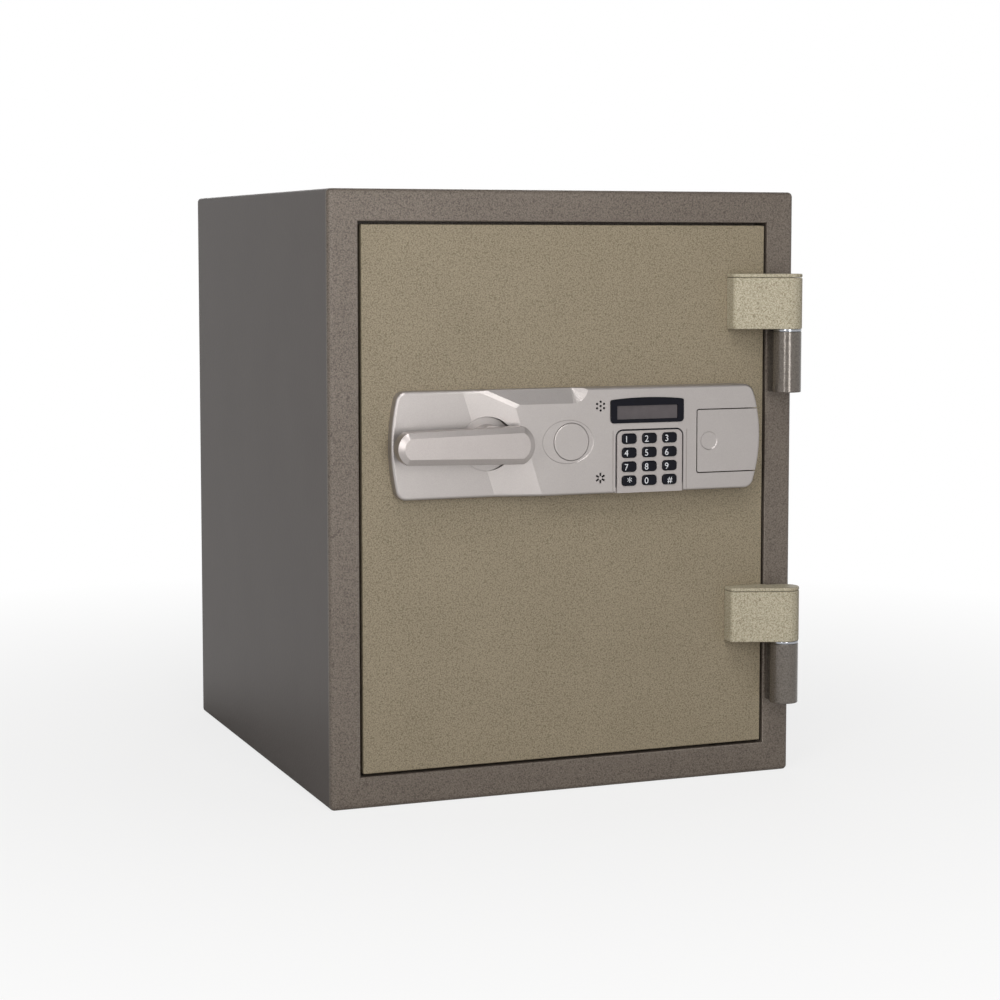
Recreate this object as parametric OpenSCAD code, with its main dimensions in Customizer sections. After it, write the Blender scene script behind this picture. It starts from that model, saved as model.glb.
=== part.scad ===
// Fireproof home safe with an electronic lock, a lever handle and a battery cover.
// The origin is the middle of the base, +Z is up and the door faces -Y.

/* [Cabinet] */
// Width of the cabinet
body_w = 415; // [400:1:480]
// Height of the cabinet
body_h = 500; // [480:1:620]
// Depth of the cabinet, without the hinges and the lock panel
body_d = 425; // [400:1:520]
// Sheet thickness of the wrapped shell and of the back panel
shell_t = 1.5; // [1:0.1:2]
// Outside radius of the shell's four long bends
bend_r = 4; // [3:0.5:8]
// Depth of the front frame's rim, behind which the shell starts
rim_d = 5; // [4:0.5:10]
// Sheet thickness of the front frame
frame_t = 2; // [1.5:0.1:2.5]
// Width of the frame's face at the left and the right
face_side = 25.3; // [23:0.1:32]
// Width of the frame's face at the top and the bottom
face_end = 26; // [23:0.5:34]
// Depth from the frame's face to its first ledge
step_1 = 24; // [23:0.5:26]
// Width of the first ledge
ledge_1 = 14.2; // [13:0.1:18]
// Depth from the frame's face to its second ledge
step_2 = 62; // [60:1:70]
// Width of the second ledge at the sides of the chamber
ledge_2_side = 28; // [22:1:36]
// Width of the second ledge above and below the chamber
ledge_2_end = 39.8; // [30:0.2:50]
// Sheet thickness of the chamber's liner
liner_t = 1.2; // [0.8:0.1:2]
// Depth of the chamber behind the second ledge
chamber_d = 288; // [240:1:300]

/* [Shelf and anchors] */
// Height of the shelf's underside above the ground
shelf_z = 250; // [200:1:300]
// Sheet thickness of the shelf
shelf_t = 1.5; // [1:0.1:3]
// Height of the shelf's front lip
shelf_lip = 12; // [6:1:20]
// Play between the shelf and the chamber's side walls
shelf_play = 1; // [0.4:0.1:3]
// Depth of the shelf from its lip to its back edge
shelf_d = 240; // [150:1:245]
// Radius of the anchor holes through the floor
anchor_r = 6.5; // [5:0.5:8]
// Wall of the sleeves in the anchor holes
sleeve_t = 1.5; // [1:0.1:3]
// Width between the middles of the two anchor holes
anchor_span_w = 180; // [120:1:220]

/* [Door] */
// Gap round the door
door_gap = 2.4; // [2:0.1:3]
// Sheet thickness of the door's skin
skin_t = 2; // [1.5:0.1:3]
// Depth of the door's front tier
pan_d = 20; // [18:0.5:21]
// Thickness of the plate that carries the boltwork
lock_plate_t = 2; // [1.5:0.1:3]
// Depth from the door's face to the back of the boltwork tray
tray_y = 58; // [56:0.5:59]
// Sheet thickness of the boltwork tray
tray_t = 2; // [1.5:0.1:3]
// Gap between the tray and the frame at the sides
tray_gap = 7; // [6:0.5:9]
// Gap between the tray and the frame at the top and the bottom
tray_gap_end = 4; // [3:0.5:8]
// Depth from the door's face to the back of the inner cover
cover_y = 80; // [74:1:90]
// Sheet thickness of the inner cover
cover_t = 1.5; // [1:0.1:2.5]
// Gap between the inner cover and the chamber's mouth at the sides
cover_gap = 9; // [8:0.5:14]
// Gap between the inner cover and the mouth at the top and the bottom
cover_gap_end = 4; // [3:0.5:8]
// Width of the fire seal on the first ledge
seal_w = 9; // [6:0.5:10]

/* [Hinges] */
// Distance of the hinge axis from the cabinet's right side
hinge_inset = 14.5; // [11.5:0.5:16.5]
// Distance of the hinge axis in front of the door's face
hinge_out = 18; // [17:0.5:20]
// Height from the cabinet's middle up to the upper hinge block's underside
upper_block_rise = 134.5; // [125:0.5:150]
// Height from the cabinet's middle down to the lower hinge block's underside
lower_block_drop = 132; // [120:0.5:150]
// Height of a hinge block with its cap
block_h = 46.5; // [36:0.5:55]
// Length of a hinge block's flat part, from its left wall to the axis
block_l = 48.5; // [44:0.5:56]
// Angle by which the front of a block leans out
block_lean = 19.4; // [15:0.1:22]
// Radius of a block's round end about the axis
block_r = 12.3; // [11.5:0.1:14]
// Thickness of the cap plate on a block
cap_plate_t = 3; // [2:0.5:5]
// Radius of the barrels welded to the frame
barrel_r = 12; // [10.5:0.1:13]
// Height of a barrel
barrel_h = 51.5; // [40:0.5:60]
// Thickness of the washer between barrel and block
washer_t = 2; // [1:0.5:3]
// Radius of the hinge pins
pin_r = 5.5; // [4:0.5:6.5]
// Running clearance round the hinge pins
pin_fit = 0.05; // [0.02:0.01:0.1]

/* [Boltwork] */
// Radius of the moving lock bolts
bolt_r = 11; // [9:0.5:11.5]
// Distance of the bolts behind the door's face
bolt_y = 41; // [40:0.5:42]
// Distance from the middle bolt to the bolts above and below it
bolt_pitch = 140; // [110:1:150]
// Travel of the lock bolts
bolt_throw = 20; // [16:0.5:20]
// Radius of the fixed bolts on the hinge side
fixed_bolt_r = 9; // [7:0.5:9]
// Reach of the fixed bolts past the tray
fixed_bolt_reach = 13; // [10:0.5:13]
// Play between a lock bolt and its keeper
keeper_play = 1.5; // [1:0.1:1.8]
// Wall of the keepers
keeper_t = 1.2; // [0.8:0.1:1.4]
// Width of the bar that joins the lock bolts
bar_w = 30; // [20:1:34]
// Thickness of the bar
bar_t = 5; // [4:0.5:6]
// Length of the bar
bar_h = 320; // [310:1:360]
// Running clearance of shafts, bolts and plugs in their holes
run_fit = 0.05; // [0.02:0.01:0.1]
// Clearance of pins and studs in their slots
slot_fit = 0.3; // [0.25:0.05:0.5]
// Radius of the studs that guide the bar
stud_r = 4; // [3:0.5:5]
// Radius of the crank pin
crank_pin_r = 4; // [3:0.5:5]
// Thickness of the crank
crank_t = 5; // [4:0.5:6]
// Radius of the solenoid's plunger
plunger_r = 4; // [3:0.5:5]
// Travel of the plunger as the handle turns
plunger_lift = 7; // [5:0.5:8]

/* [Lock panel] */
// Left end of the panel, from the cabinet's middle
panel_left = -158; // [-160:1:-156]
// Right end of the panel, from the cabinet's middle
panel_right = 168; // [166:0.5:169]
// Height of the panel's middle above the cabinet's middle
panel_rise = 44.4; // [20:0.1:70]
// Height of the panel
panel_h = 87.9; // [86:0.1:94]
// Bulge of the panel's left end
bulge_left = 6; // [3:0.5:9]
// Bulge of the panel's right end
bulge_right = 8; // [6:0.5:9]
// Corner radius of the panel's outline
panel_corner_r = 9; // [6:0.5:12]
// Height of the panel's deck above the door
deck_h = 18; // [18:0.1:20]
// Height of the low floor beside the handle
floor_h = 9; // [7:0.5:11]
// Size of the chamfer round the panel
panel_edge = 3; // [1.5:0.1:3.5]
// Wall thickness of the panel's housing
panel_wall = 2.2; // [2:0.1:2.4]
// Lean of the slope between floor and deck
slope_lean = 18; // [10:0.5:20]
// Distance from the handle's axis to the foot of the slope
slope_foot = -6.1; // [-12:0.1:0]
// Distance from the handle's axis to the top of the slope
slope_top = 30.2; // [29:0.1:36]
// Height of the scoop in the deck's upper edge
scoop_h = 12.4; // [8:0.1:14]
// Depth of the scoop at the panel's upper edge
scoop_depth = 5.6; // [3:0.1:7]
// Right end of the scoop, from the cabinet's middle
scoop_end = -4; // [-10:1:0]

/* [Handle] */
// Handle's axis, from the cabinet's middle
handle_x = -77; // [-80:0.5:-74]
// Length of the lever from the axis to its tip
lever_l = 84; // [76:0.5:86]
// Length of the lever's nose past the axis
lever_nose = 32.4; // [30:0.1:38]
// Height of the lever at its tip
lever_tip_h = 25.6; // [20:0.1:30]
// Height of the lever at its nose
lever_nose_h = 30.8; // [26:0.1:34]
// Distance from the door to the back of the lever
lever_back = 24; // [22:0.5:28]
// Thickness of the lever
lever_t = 14; // [10:0.5:16]
// Chamfer round the lever's front
lever_edge = 3; // [1:0.1:4]
// Radius of the lever's hub
hub_r = 16; // [12:0.5:17]
// Radius of the rosette
rosette_r = 22; // [19:0.5:22.5]
// Thickness of the rosette
rosette_t = 1; // [0.6:0.1:2]
// Radius of the spindle
spindle_r = 6; // [5:0.5:7]
// Wall of the bush round the spindle
bush_t = 3; // [2:0.5:4]

/* [Key lock] */
// Axis of the key lock, from the cabinet's middle
lock_x = -5.5; // [-6:0.5:-5]
// Radius of the cap over the key lock
cap_r = 15.5; // [14:0.5:15.5]
// Gap round the cap
cap_gap = 0.2; // [0.15:0.05:0.3]
// Radius of the lock's plug
plug_r = 7.5; // [6:0.5:8]
// Radius of the lock's cylinder
cylinder_r = 11; // [10:0.5:12]
// Half width of the finger dish round the cap
dish_rx = 23; // [20:0.5:24]
// Half height of the finger dish round the cap
dish_rz = 18.2; // [17:0.1:20]

/* [Keypad and display] */
// Middle of the keypad, from the cabinet's middle
keypad_x = 65; // [64:0.5:66]
// Width of the keypad plate
keypad_w = 59.3; // [58:0.1:62]
// Radius of the keypad plate's upper corners
keypad_corner_r = 5; // [3:0.5:7]
// Distance from the panel's middle up to the top of the keypad plate
keypad_top = 7.6; // [6:0.1:8]
// Width of a key
key_w = 13.1; // [10:0.1:14]
// Height of a key
key_h = 8.4; // [7:0.1:9]
// Corner radius of a key
key_corner_r = 2.7; // [1:0.1:3]
// Distance between the middles of two keys in a row
key_pitch_x = 18.4; // [17.5:0.1:18.6]
// Distance between the middles of two rows
key_pitch_z = 11.65; // [11.4:0.05:11.8]
// Travel of a key
key_travel = 1; // [0.5:0.1:1.2]
// Gap round a key
key_gap = 0.2; // [0.15:0.05:0.4]
// Height of a key above the keypad plate
key_proud = 1.4; // [0.8:0.1:2]
// Width of the display's bezel
bezel_w = 66.4; // [62:0.1:67]
// Height of the display's bezel
bezel_h = 20.7; // [18:0.1:22]
// Radius of the bezel's corners
bezel_corner_r = 2.5; // [1.5:0.1:4]
// Distance from the panel's middle up to the underside of the bezel
bezel_base = 14.2; // [13:0.1:15]
// Width of the display's window
window_w = 55.4; // [50:0.1:57]
// Height of the display's window
window_h = 11.6; // [9:0.1:13]

/* [Batteries] */
// Left edge of the battery cover, from the cabinet's middle
cover_left = 109; // [107.5:0.5:112]
// Height of the battery cover
batt_cover_h = 52.2; // [51.8:0.1:56]
// Distance of the cover's middle below the panel's middle
batt_drop = 2.9; // [0:0.1:4]
// Gap round the battery cover
batt_gap = 0.3; // [0.2:0.05:0.5]
// Wall of the battery cover
batt_wall = 1.8; // [1.2:0.1:2]
// Diameter of a battery cell
cell_d = 14.2; // [13.5:0.1:14.3]
// Length of a battery cell
cell_l = 50.2; // [48:0.1:50.4]

/* [Hidden] */
$fn = 64;

frame_paint = "#756d67";
shell_paint = "#615d5b";
door_paint = "#897e6b";
block_paint = "#b0a893";
barrel_paint = "#5f5954";
silver_paint = "#b3ada7";
lever_paint = "#bfb8b5";
black_plastic = "#1d1e24";
grey_plastic = "#8d8a87";
bright_steel = "#b9bcbf";
dark_steel = "#6a6d70";
fire_fill = "#d6d2c4";
brass = "#b89a55";

over = 1;
seam = 0.1;
rest_gap = 0.3;
mid_z = body_h / 2;
body_x = body_w / 2;

jamb_1_x = body_x - face_side;
jamb_2_x = jamb_1_x - ledge_1;
mouth_x = jamb_2_x - ledge_2_side;
jamb_1_z = face_end;
jamb_2_z = jamb_1_z + ledge_1;
mouth_z = jamb_2_z + ledge_2_end;
liner_y = step_2 + frame_t;
liner_back = liner_y + chamber_d;
fill_inset = max(shell_t, frame_t) + seam;
sleeve_r = anchor_r + sleeve_t;
anchor_y = liner_y + chamber_d / 2;

door_x = jamb_1_x - door_gap;
door_z = jamb_1_z + door_gap;
tray_x = jamb_2_x - tray_gap;
tray_z = jamb_2_z + tray_gap_end;
cover_x = mouth_x - cover_gap;
cover_z = mouth_z + cover_gap_end;
seal_x = door_x - rest_gap;
seal_z = door_z + rest_gap;
seal_front = pan_d + 0.4;

hinge_x = body_x - hinge_inset;
upper_block_z = mid_z + upper_block_rise;
lower_block_z = mid_z - lower_block_drop;
block_wall_x = hinge_x - block_l;
block_seat_x = door_x - 1.8;
block_levels = [upper_block_z, lower_block_z];
block_clear = 6;
groove_t = 0.3;
foot_w = 17;
pin_grip = block_h - cap_plate_t - 5;
pin_root = 6;
block_bend_r = 4;

panel_z = mid_z + panel_rise;
bolt_levels = [mid_z - bolt_pitch, mid_z, mid_z + bolt_pitch];
keeper_r = bolt_r + keeper_play;
keeper_floor_t = 2;
bolt_tip_x = -tray_x + 0.5;
keeper_x = bolt_tip_x - bolt_throw - 3.5;
fixed_tip_x = tray_x + fixed_bolt_reach;
bar_reach = 28;
bar_x = handle_x - bar_reach;
bar_front = bolt_y - bar_t / 2;
bar_back = bolt_y + bar_t / 2;
crank_l = bolt_throw;
handle_swing = 60;
crank_pin_x = handle_x + crank_l * sin(handle_swing / 2);
crank_pin_z = panel_z + crank_l * cos(handle_swing / 2);
crank_hub_r = 11;
crank_arm_w = 14;
crank_back = bar_front - 1.5;
crank_front = crank_back - crank_t;
tab_h = 30;
tab_end = crank_pin_x + crank_pin_r + 6;
stud_x = bar_x + bar_w + 2 * stud_r;
low_stud_drop = 100;
top_stud_rise = 110;
stud_levels = [mid_z - low_stud_drop, mid_z + top_stud_rise];
stud_head_r = stud_r + 3;
stud_tab_h = 2 * stud_r + 10;
plunger_reach = 17;
plunger_x = handle_x + plunger_reach;
ramp_slope = plunger_lift / bolt_throw;
ramp_drop = 54;
ramp_z = mid_z - ramp_drop;
ramp_h = 14;
ramp_end = plunger_x + bolt_throw + 12;
plunger_z = ramp_z + ramp_slope * plunger_r + rest_gap;
solenoid_z = plunger_z + plunger_lift + 3;
solenoid_w = 24;
solenoid_h = 36;
solenoid_back = bolt_y + 12;

deck_in = deck_h - panel_wall;
floor_in = floor_h - panel_wall;
panel_low = panel_z - panel_h / 2;
panel_top = panel_z + panel_h / 2;
pocket_r = rosette_r + rest_gap;
rosette_seat = floor_h - 0.4;
rosette_front = rosette_seat + rosette_t;
dish_t = 0.4;
dish_shift = -2.9;

plate_proud = 0.4;
plate_t = 2;
plate_back = deck_h + plate_proud - plate_t;
plate_ledge = 1;
plate_top = panel_z + keypad_top;
key_row_z = plate_top - 6.5;
keypad_open_z = key_row_z - 3 * key_pitch_z - key_h / 2 - 1.6;
key_front = deck_h + plate_proud + key_proud;
key_flange = 0.8;
key_flange_t = 0.8;
key_stem_r = 2;
board_front = 11;
board_t = 1.6;
board_left = 12;
board_right = 102.5;
board_low = panel_low + 4.5;
board_top = panel_top - 6.5;
key_foot = board_front + key_travel + rest_gap;
bezel_x = keypad_x - 2.4;
bezel_z = panel_z + bezel_base;
bezel_front = deck_h + 1.2;
window_z = bezel_z + 2.8;
window_front = deck_h + 0.2;
window_t = 1;
module_front = deck_in - seam;
sound_x = 20.4;
sound_r = 6.5;
upper_sound_z = panel_top - 15.2;
lower_sound_z = panel_low + 13.2;
groove_w = 0.6;

batt_z = panel_z - batt_drop;
batt_low = batt_z - batt_cover_h / 2;
batt_top = batt_z + batt_cover_h / 2;
cell_pitch = cell_d + 0.1;
cell_count = 4;
tray_wall = 0.8;
batt_depth = cell_d + 0.4;
batt_tray_inset = 6;
batt_tray_w = cell_count * cell_pitch + 2 * seam + 2 * tray_wall;
batt_tray_x = panel_right - batt_tray_inset - batt_tray_w;
batt_tray_h = cell_l + 2 * (seam + tray_wall);
cell_y = deck_in - seam - batt_depth / 2;

cylinder_front = 13.2;
plug_front = 13;
plug_tail = pan_d + 6;
cap_front = deck_h + 0.3;
cap_skirt = cylinder_front + rest_gap;

cable_r = 1.5;
cable_hole_r = cable_r + 0.5;
cable_x = 30;
cable_z = panel_low + 10;
cable_y = 32;

// Moves the front of the cabinet from y = 0 to its place
module at_front() {
    translate([0, -body_d / 2, 0]) children();
}

// Extrudes an outline drawn in X and Z from y0 back to y1
module along_y(y0, y1) {
    translate([0, y1, 0]) rotate([90, 0, 0]) linear_extrude(y1 - y0) children();
}

// Extrudes an outline drawn in Y and Z from x0 to x1
module along_x(x0, x1) {
    translate([x0, 0, 0]) rotate([90, 0, 90]) linear_extrude(x1 - x0) children();
}

// Extrudes an outline drawn in X and Y from z0 to z1
module along_z(z0, z1) {
    translate([0, 0, z0]) linear_extrude(z1 - z0) children();
}

module span(x, y, z) {
    translate([x[0], y[0], z[0]]) cube([x[1] - x[0], y[1] - y[0], z[1] - z[0]]);
}

module rod_x(y, z, r, x0, x1) {
    translate([x0, y, z]) rotate([0, 90, 0]) cylinder(r = r, h = x1 - x0);
}

module rod_y(x, z, r, y0, y1) {
    translate([x, y0, z]) rotate([-90, 0, 0]) cylinder(r = r, h = y1 - y0);
}

module rod_z(x, y, r, z0, z1) {
    translate([x, y, z0]) cylinder(r = r, h = z1 - z0);
}

// Box about the cabinet's middle: half width x, z clear of the ground and of the top
module bay(x, z, y0, y1, grow = 0) {
    span([-x - grow, x + grow], [y0, y1], [z - grow, body_h - z + grow]);
}

module rounded_rect(w, h, r) {
    translate([-w / 2 + r, -h / 2]) square([w - 2 * r, h]);
    translate([-w / 2, -h / 2 + r]) square([w, h - 2 * r]);
    for (sx = [-1, 1], sz = [-1, 1])
        translate([sx * (w / 2 - r), sz * (h / 2 - r)]) circle(r = r);
}

module cabinet_outline(inset = 0) {
    translate([0, mid_z])
        rounded_rect(body_w - 2 * inset, body_h - 2 * inset, bend_r - inset);
}

module anchor_bores(r) {
    for (s = [-1, 1])
        rod_z(s * anchor_span_w / 2, anchor_y, r, -over, mouth_z + over);
}

module outer_shell() {
    color(shell_paint) at_front() difference() {
        along_y(rim_d, body_d) difference() {
            cabinet_outline();
            cabinet_outline(shell_t);
        }
        anchor_bores(sleeve_r + run_fit);
    }
}

module back_panel() {
    color(shell_paint) at_front()
        along_y(body_d - shell_t, body_d) cabinet_outline(shell_t + seam);
}

module keeper_bores(r) {
    for (z = bolt_levels)
        rod_x(bolt_y, z, r, -jamb_2_x - frame_t - over, -jamb_2_x + over);
    for (z = bolt_levels)
        rod_x(bolt_y, z, r, jamb_2_x - over, jamb_2_x + frame_t + over);
}

// One pressing: face with its rim, two stepped jambs and the ledges between them
module front_frame() {
    color(frame_paint) at_front() difference() {
        union() {
            along_y(0, frame_t) cabinet_outline();
            along_y(0, rim_d) difference() {
                cabinet_outline();
                cabinet_outline(frame_t);
            }
            bay(jamb_1_x, jamb_1_z, 0, step_1 + frame_t, frame_t);
            bay(jamb_2_x, jamb_2_z, step_1, step_2 + frame_t, frame_t);
        }
        bay(jamb_1_x, jamb_1_z, -over, step_1);
        bay(jamb_2_x, jamb_2_z, -over, step_2);
        bay(mouth_x, mouth_z, -over, step_2 + frame_t + over);
        keeper_bores(keeper_r);
    }
}

module keeper_blanks(r) {
    for (s = [-1, 1], z = bolt_levels)
        mirror([s > 0 ? 1 : 0, 0, 0])
            rod_x(bolt_y, z, r, keeper_x - keeper_floor_t, -jamb_2_x - frame_t);
}

module bolt_keepers() {
    color(dark_steel) at_front() difference() {
        keeper_blanks(keeper_r + keeper_t);
        for (s = [-1, 1], z = bolt_levels)
            mirror([s > 0 ? 1 : 0, 0, 0])
                rod_x(bolt_y, z, keeper_r, keeper_x, -jamb_2_x - frame_t + over);
    }
}

// Fire fill cast between the shell, the frame and the liner
module body_insulation() {
    color(fire_fill) at_front() difference() {
        along_y(frame_t, body_d - shell_t) cabinet_outline(fill_inset);
        bay(jamb_1_x, jamb_1_z, 0, step_1 + frame_t, frame_t);
        bay(jamb_2_x, jamb_2_z, 0, step_2 + frame_t, frame_t);
        bay(mouth_x, mouth_z, 0, liner_back + liner_t, liner_t);
        keeper_blanks(keeper_r + keeper_t + seam);
        anchor_bores(sleeve_r + run_fit);
    }
}

module inner_liner() {
    color(silver_paint) at_front() difference() {
        bay(mouth_x, mouth_z, liner_y, liner_back + liner_t, liner_t);
        bay(mouth_x, mouth_z, liner_y - over, liner_back);
        anchor_bores(sleeve_r + run_fit);
    }
}

module door_seal() {
    color(black_plastic) at_front() difference() {
        bay(seal_x, seal_z, seal_front, step_1);
        bay(seal_x - seal_w, seal_z + seal_w, seal_front - over, step_1 + over);
    }
}

shelf_x = mouth_x - shelf_play;
shelf_back = liner_back - shelf_play;
shelf_front = shelf_back - shelf_d;

module shelf() {
    color(silver_paint) at_front() {
        span([-shelf_x, shelf_x], [shelf_front, shelf_back], [shelf_z, shelf_z + shelf_t]);
        span([-shelf_x, shelf_x], [shelf_front, shelf_front + shelf_t],
             [shelf_z + shelf_t - shelf_lip, shelf_z + shelf_t]);
    }
}

bracket_w = 14;
bracket_l = 20;
bracket_t = 1.5;

// Four angle clips on the liner's side walls, two under each end of the shelf
module shelf_brackets() {
    color(bright_steel) at_front()
        for (s = [-1, 1], y = [shelf_front + 2 * bracket_l, shelf_back - 2 * bracket_l])
            mirror([s > 0 ? 0 : 1, 0, 0]) {
                span([mouth_x - bracket_w, mouth_x], [y, y + bracket_l],
                     [shelf_z - bracket_t, shelf_z]);
                span([mouth_x - bracket_t, mouth_x], [y, y + bracket_l],
                     [shelf_z - bracket_w, shelf_z]);
            }
}

module anchor_sleeves() {
    color(bright_steel) at_front()
        for (s = [-1, 1])
            difference() {
                rod_z(s * anchor_span_w / 2, anchor_y, sleeve_r, 0, mouth_z);
                rod_z(s * anchor_span_w / 2, anchor_y, anchor_r, -over, mouth_z + over);
            }
}

module barrel(block_z) {
    top = block_z - washer_t - 2 * seam;
    difference() {
        union() {
            rod_z(hinge_x, -hinge_out, barrel_r, top - barrel_h, top);
            span([hinge_x - foot_w / 2, hinge_x + foot_w / 2], [-hinge_out, 0],
                 [top - barrel_h, top]);
        }
        rod_z(hinge_x, -hinge_out, pin_r + run_fit, top - barrel_h + pin_root, top + over);
    }
}

module upper_frame_barrel() {
    color(barrel_paint) at_front() barrel(upper_block_z);
}

module lower_frame_barrel() {
    color(barrel_paint) at_front() barrel(lower_block_z);
}

module hinge_pins() {
    color(bright_steel) at_front()
        for (z = block_levels)
            rod_z(hinge_x, -hinge_out, pin_r,
                  z - washer_t - 2 * seam - barrel_h + pin_root, z + pin_grip - seam);
}

module hinge_washers() {
    color("#d8dadc") at_front()
        for (z = block_levels)
            difference() {
                rod_z(hinge_x, -hinge_out, barrel_r, z - washer_t - seam, z - seam);
                rod_z(hinge_x, -hinge_out, pin_r + run_fit, z - washer_t - over, z + over);
            }
}

module door_bores(extra) {
    rod_y(handle_x, panel_z, spindle_r + bush_t + extra, -over, pan_d + over);
    rod_y(lock_x, panel_z, cylinder_r + extra, -over, pan_d + over);
    rod_y(cable_x, cable_z, cable_hole_r, -over, pan_d + over);
}

// Folded pan of the door's front tier
module door_skin() {
    color(door_paint) at_front() difference() {
        bay(door_x, door_z, 0, pan_d);
        bay(door_x, door_z, skin_t, pan_d + over, -skin_t);
        door_bores(run_fit);
    }
}

screw_inset = 24;
screw_places = [
    for (s = [-1, 1], z = [cover_z + screw_inset, mid_z, body_h - cover_z - screw_inset])
        [s * (cover_x - screw_inset), z]
];
screw_r = 2;
screw_head_r = 4.5;
screw_head_t = 2;

module screw_bores(y0, y1) {
    for (p = screw_places) rod_y(p[0], p[1], screw_r + run_fit, y0, y1);
}

// Two slabs: one behind the door's skin, one inside the inner cover
module door_insulation() {
    color(fire_fill) at_front() {
        difference() {
            bay(door_x, door_z, skin_t, pan_d - lock_plate_t, -skin_t - seam);
            door_bores(seam);
        }
        difference() {
            bay(cover_x, cover_z, tray_y, cover_y - cover_t, -cover_t - seam);
            screw_bores(tray_y - over, cover_y);
        }
    }
}

module lock_plate() {
    color(bright_steel) at_front() difference() {
        bay(door_x, door_z, pan_d - lock_plate_t, pan_d, -skin_t - seam);
        door_bores(run_fit);
    }
}

// Open box behind the lock plate; the bolts slide through its left wall
module door_tray() {
    color(silver_paint) at_front() difference() {
        bay(tray_x, tray_z, pan_d, tray_y);
        bay(tray_x, tray_z, pan_d - over, tray_y - tray_t, -tray_t);
        for (z = bolt_levels) {
            rod_x(bolt_y, z, bolt_r + run_fit, -tray_x - over, -tray_x + tray_t + over);
            rod_x(bolt_y, z, fixed_bolt_r + run_fit, tray_x - tray_t - over, tray_x + over);
        }
        screw_bores(tray_y - tray_t - over, tray_y + over);
    }
}

module door_back_cover() {
    color(silver_paint) at_front() difference() {
        bay(cover_x, cover_z, tray_y, cover_y);
        bay(cover_x, cover_z, tray_y - over, cover_y - cover_t, -cover_t);
        screw_bores(cover_y - cover_t - over, cover_y + over);
    }
}

module cover_screws() {
    color(bright_steel) at_front()
        for (p = screw_places) {
            rod_y(p[0], p[1], screw_r, tray_y - tray_t, cover_y);
            difference() {
                rod_y(p[0], p[1], screw_head_r, cover_y, cover_y + screw_head_t);
                span([p[0] - screw_head_r, p[0] + screw_head_r],
                     [cover_y + screw_head_t / 2, cover_y + screw_head_t + over],
                     [p[1] - 0.5, p[1] + 0.5]);
            }
        }
}

// Plan of a hinge block: seat on the door, leaning front and round end on the axis
module block_plan() {
    touch = [hinge_x - block_r * sin(block_lean), -hinge_out - block_r * cos(block_lean)];
    wall_y = touch[1] + (touch[0] - block_wall_x) * tan(block_lean);
    turn = 90 - block_lean;
    inner = [block_wall_x + block_bend_r, wall_y + block_bend_r * (1 - sin(block_lean)) / cos(block_lean)];
    polygon([
        [block_wall_x, 0], [block_wall_x, inner[1]],
        for (a = [180 : 15 : 180 + turn]) inner + block_bend_r * [cos(a), sin(a)],
        inner - block_bend_r * [sin(block_lean), cos(block_lean)],
        touch, [hinge_x, -hinge_out], [hinge_x, -block_clear],
        [block_seat_x + block_clear, -block_clear + 1], [block_seat_x, 0]
    ]);
    translate([hinge_x, -hinge_out]) circle(r = block_r);
}

module hinge_block(z) {
    difference() {
        along_z(z, z + block_h - cap_plate_t - groove_t) block_plan();
        rod_z(hinge_x, -hinge_out, pin_r + pin_fit, z - over, z + pin_grip);
    }
}

module upper_hinge_block() {
    color(block_paint) at_front() hinge_block(upper_block_z);
}

module lower_hinge_block() {
    color(block_paint) at_front() hinge_block(lower_block_z);
}

module hinge_block_caps() {
    color(block_paint) at_front()
        for (z = block_levels)
            along_z(z + block_h - cap_plate_t, z + block_h) block_plan();
}

// Fixed bolts that hold the hinge side when the hinges are cut
module hinge_side_bolts() {
    head_x = tray_x - tray_t;
    color(bright_steel) at_front()
        for (z = bolt_levels) {
            rod_x(bolt_y, z, fixed_bolt_r, head_x - over, fixed_tip_x);
            rod_x(bolt_y, z, fixed_bolt_r + 3, head_x - 5, head_x);
        }
}

module guide_studs() {
    color(bright_steel) at_front()
        for (z = stud_levels) {
            rod_y(stud_x, z, stud_r, pan_d, bar_back + 0.8);
            rod_y(stud_x, z, stud_head_r, bar_back + 0.5, bar_back + 3);
            rod_y(stud_x, z, stud_head_r, pan_d, bar_front - 0.5);
        }
}

// Bar that carries the bolts, with tabs for the crank pin, the studs and the plunger
module bolt_bar() {
    stud_slot_x = [stud_x - stud_r - slot_fit, stud_x + bolt_throw + stud_r + slot_fit];
    pin_slot_z = [crank_pin_z - crank_pin_r - 2 * slot_fit, panel_z + crank_l + crank_pin_r + 2 * slot_fit];
    color(dark_steel) at_front() difference() {
        union() {
            span([bar_x, bar_x + bar_w], [bar_front, bar_back], [mid_z - bar_h / 2, mid_z + bar_h / 2]);
            span([bar_x, tab_end], [bar_front, bar_back], [crank_pin_z - tab_h / 2, crank_pin_z + tab_h / 2]);
            for (z = stud_levels)
                span([bar_x, stud_slot_x[1] + 5], [bar_front, bar_back],
                     [z - stud_tab_h / 2, z + stud_tab_h / 2]);
            along_y(bar_front, bar_back) polygon([
                [bar_x, ramp_z - ramp_h], [ramp_end, ramp_z - ramp_h],
                [ramp_end, ramp_z - ramp_slope * (ramp_end - plunger_x)],
                [bar_x + bar_w, ramp_z + ramp_slope * (plunger_x - bar_x - bar_w)],
                [bar_x, ramp_z + ramp_slope * (plunger_x - bar_x - bar_w)]
            ]);
        }
        span([crank_pin_x - crank_pin_r - slot_fit, crank_pin_x + crank_pin_r + slot_fit],
             [bar_front - over, bar_back + over], pin_slot_z);
        for (z = stud_levels)
            span(stud_slot_x, [bar_front - over, bar_back + over],
                 [z - stud_r - slot_fit, z + stud_r + slot_fit]);
    }
}

module lock_bolts() {
    color(bright_steel) at_front()
        for (z = bolt_levels)
            rod_x(bolt_y, z, bolt_r, bolt_tip_x, bar_x);
}

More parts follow.
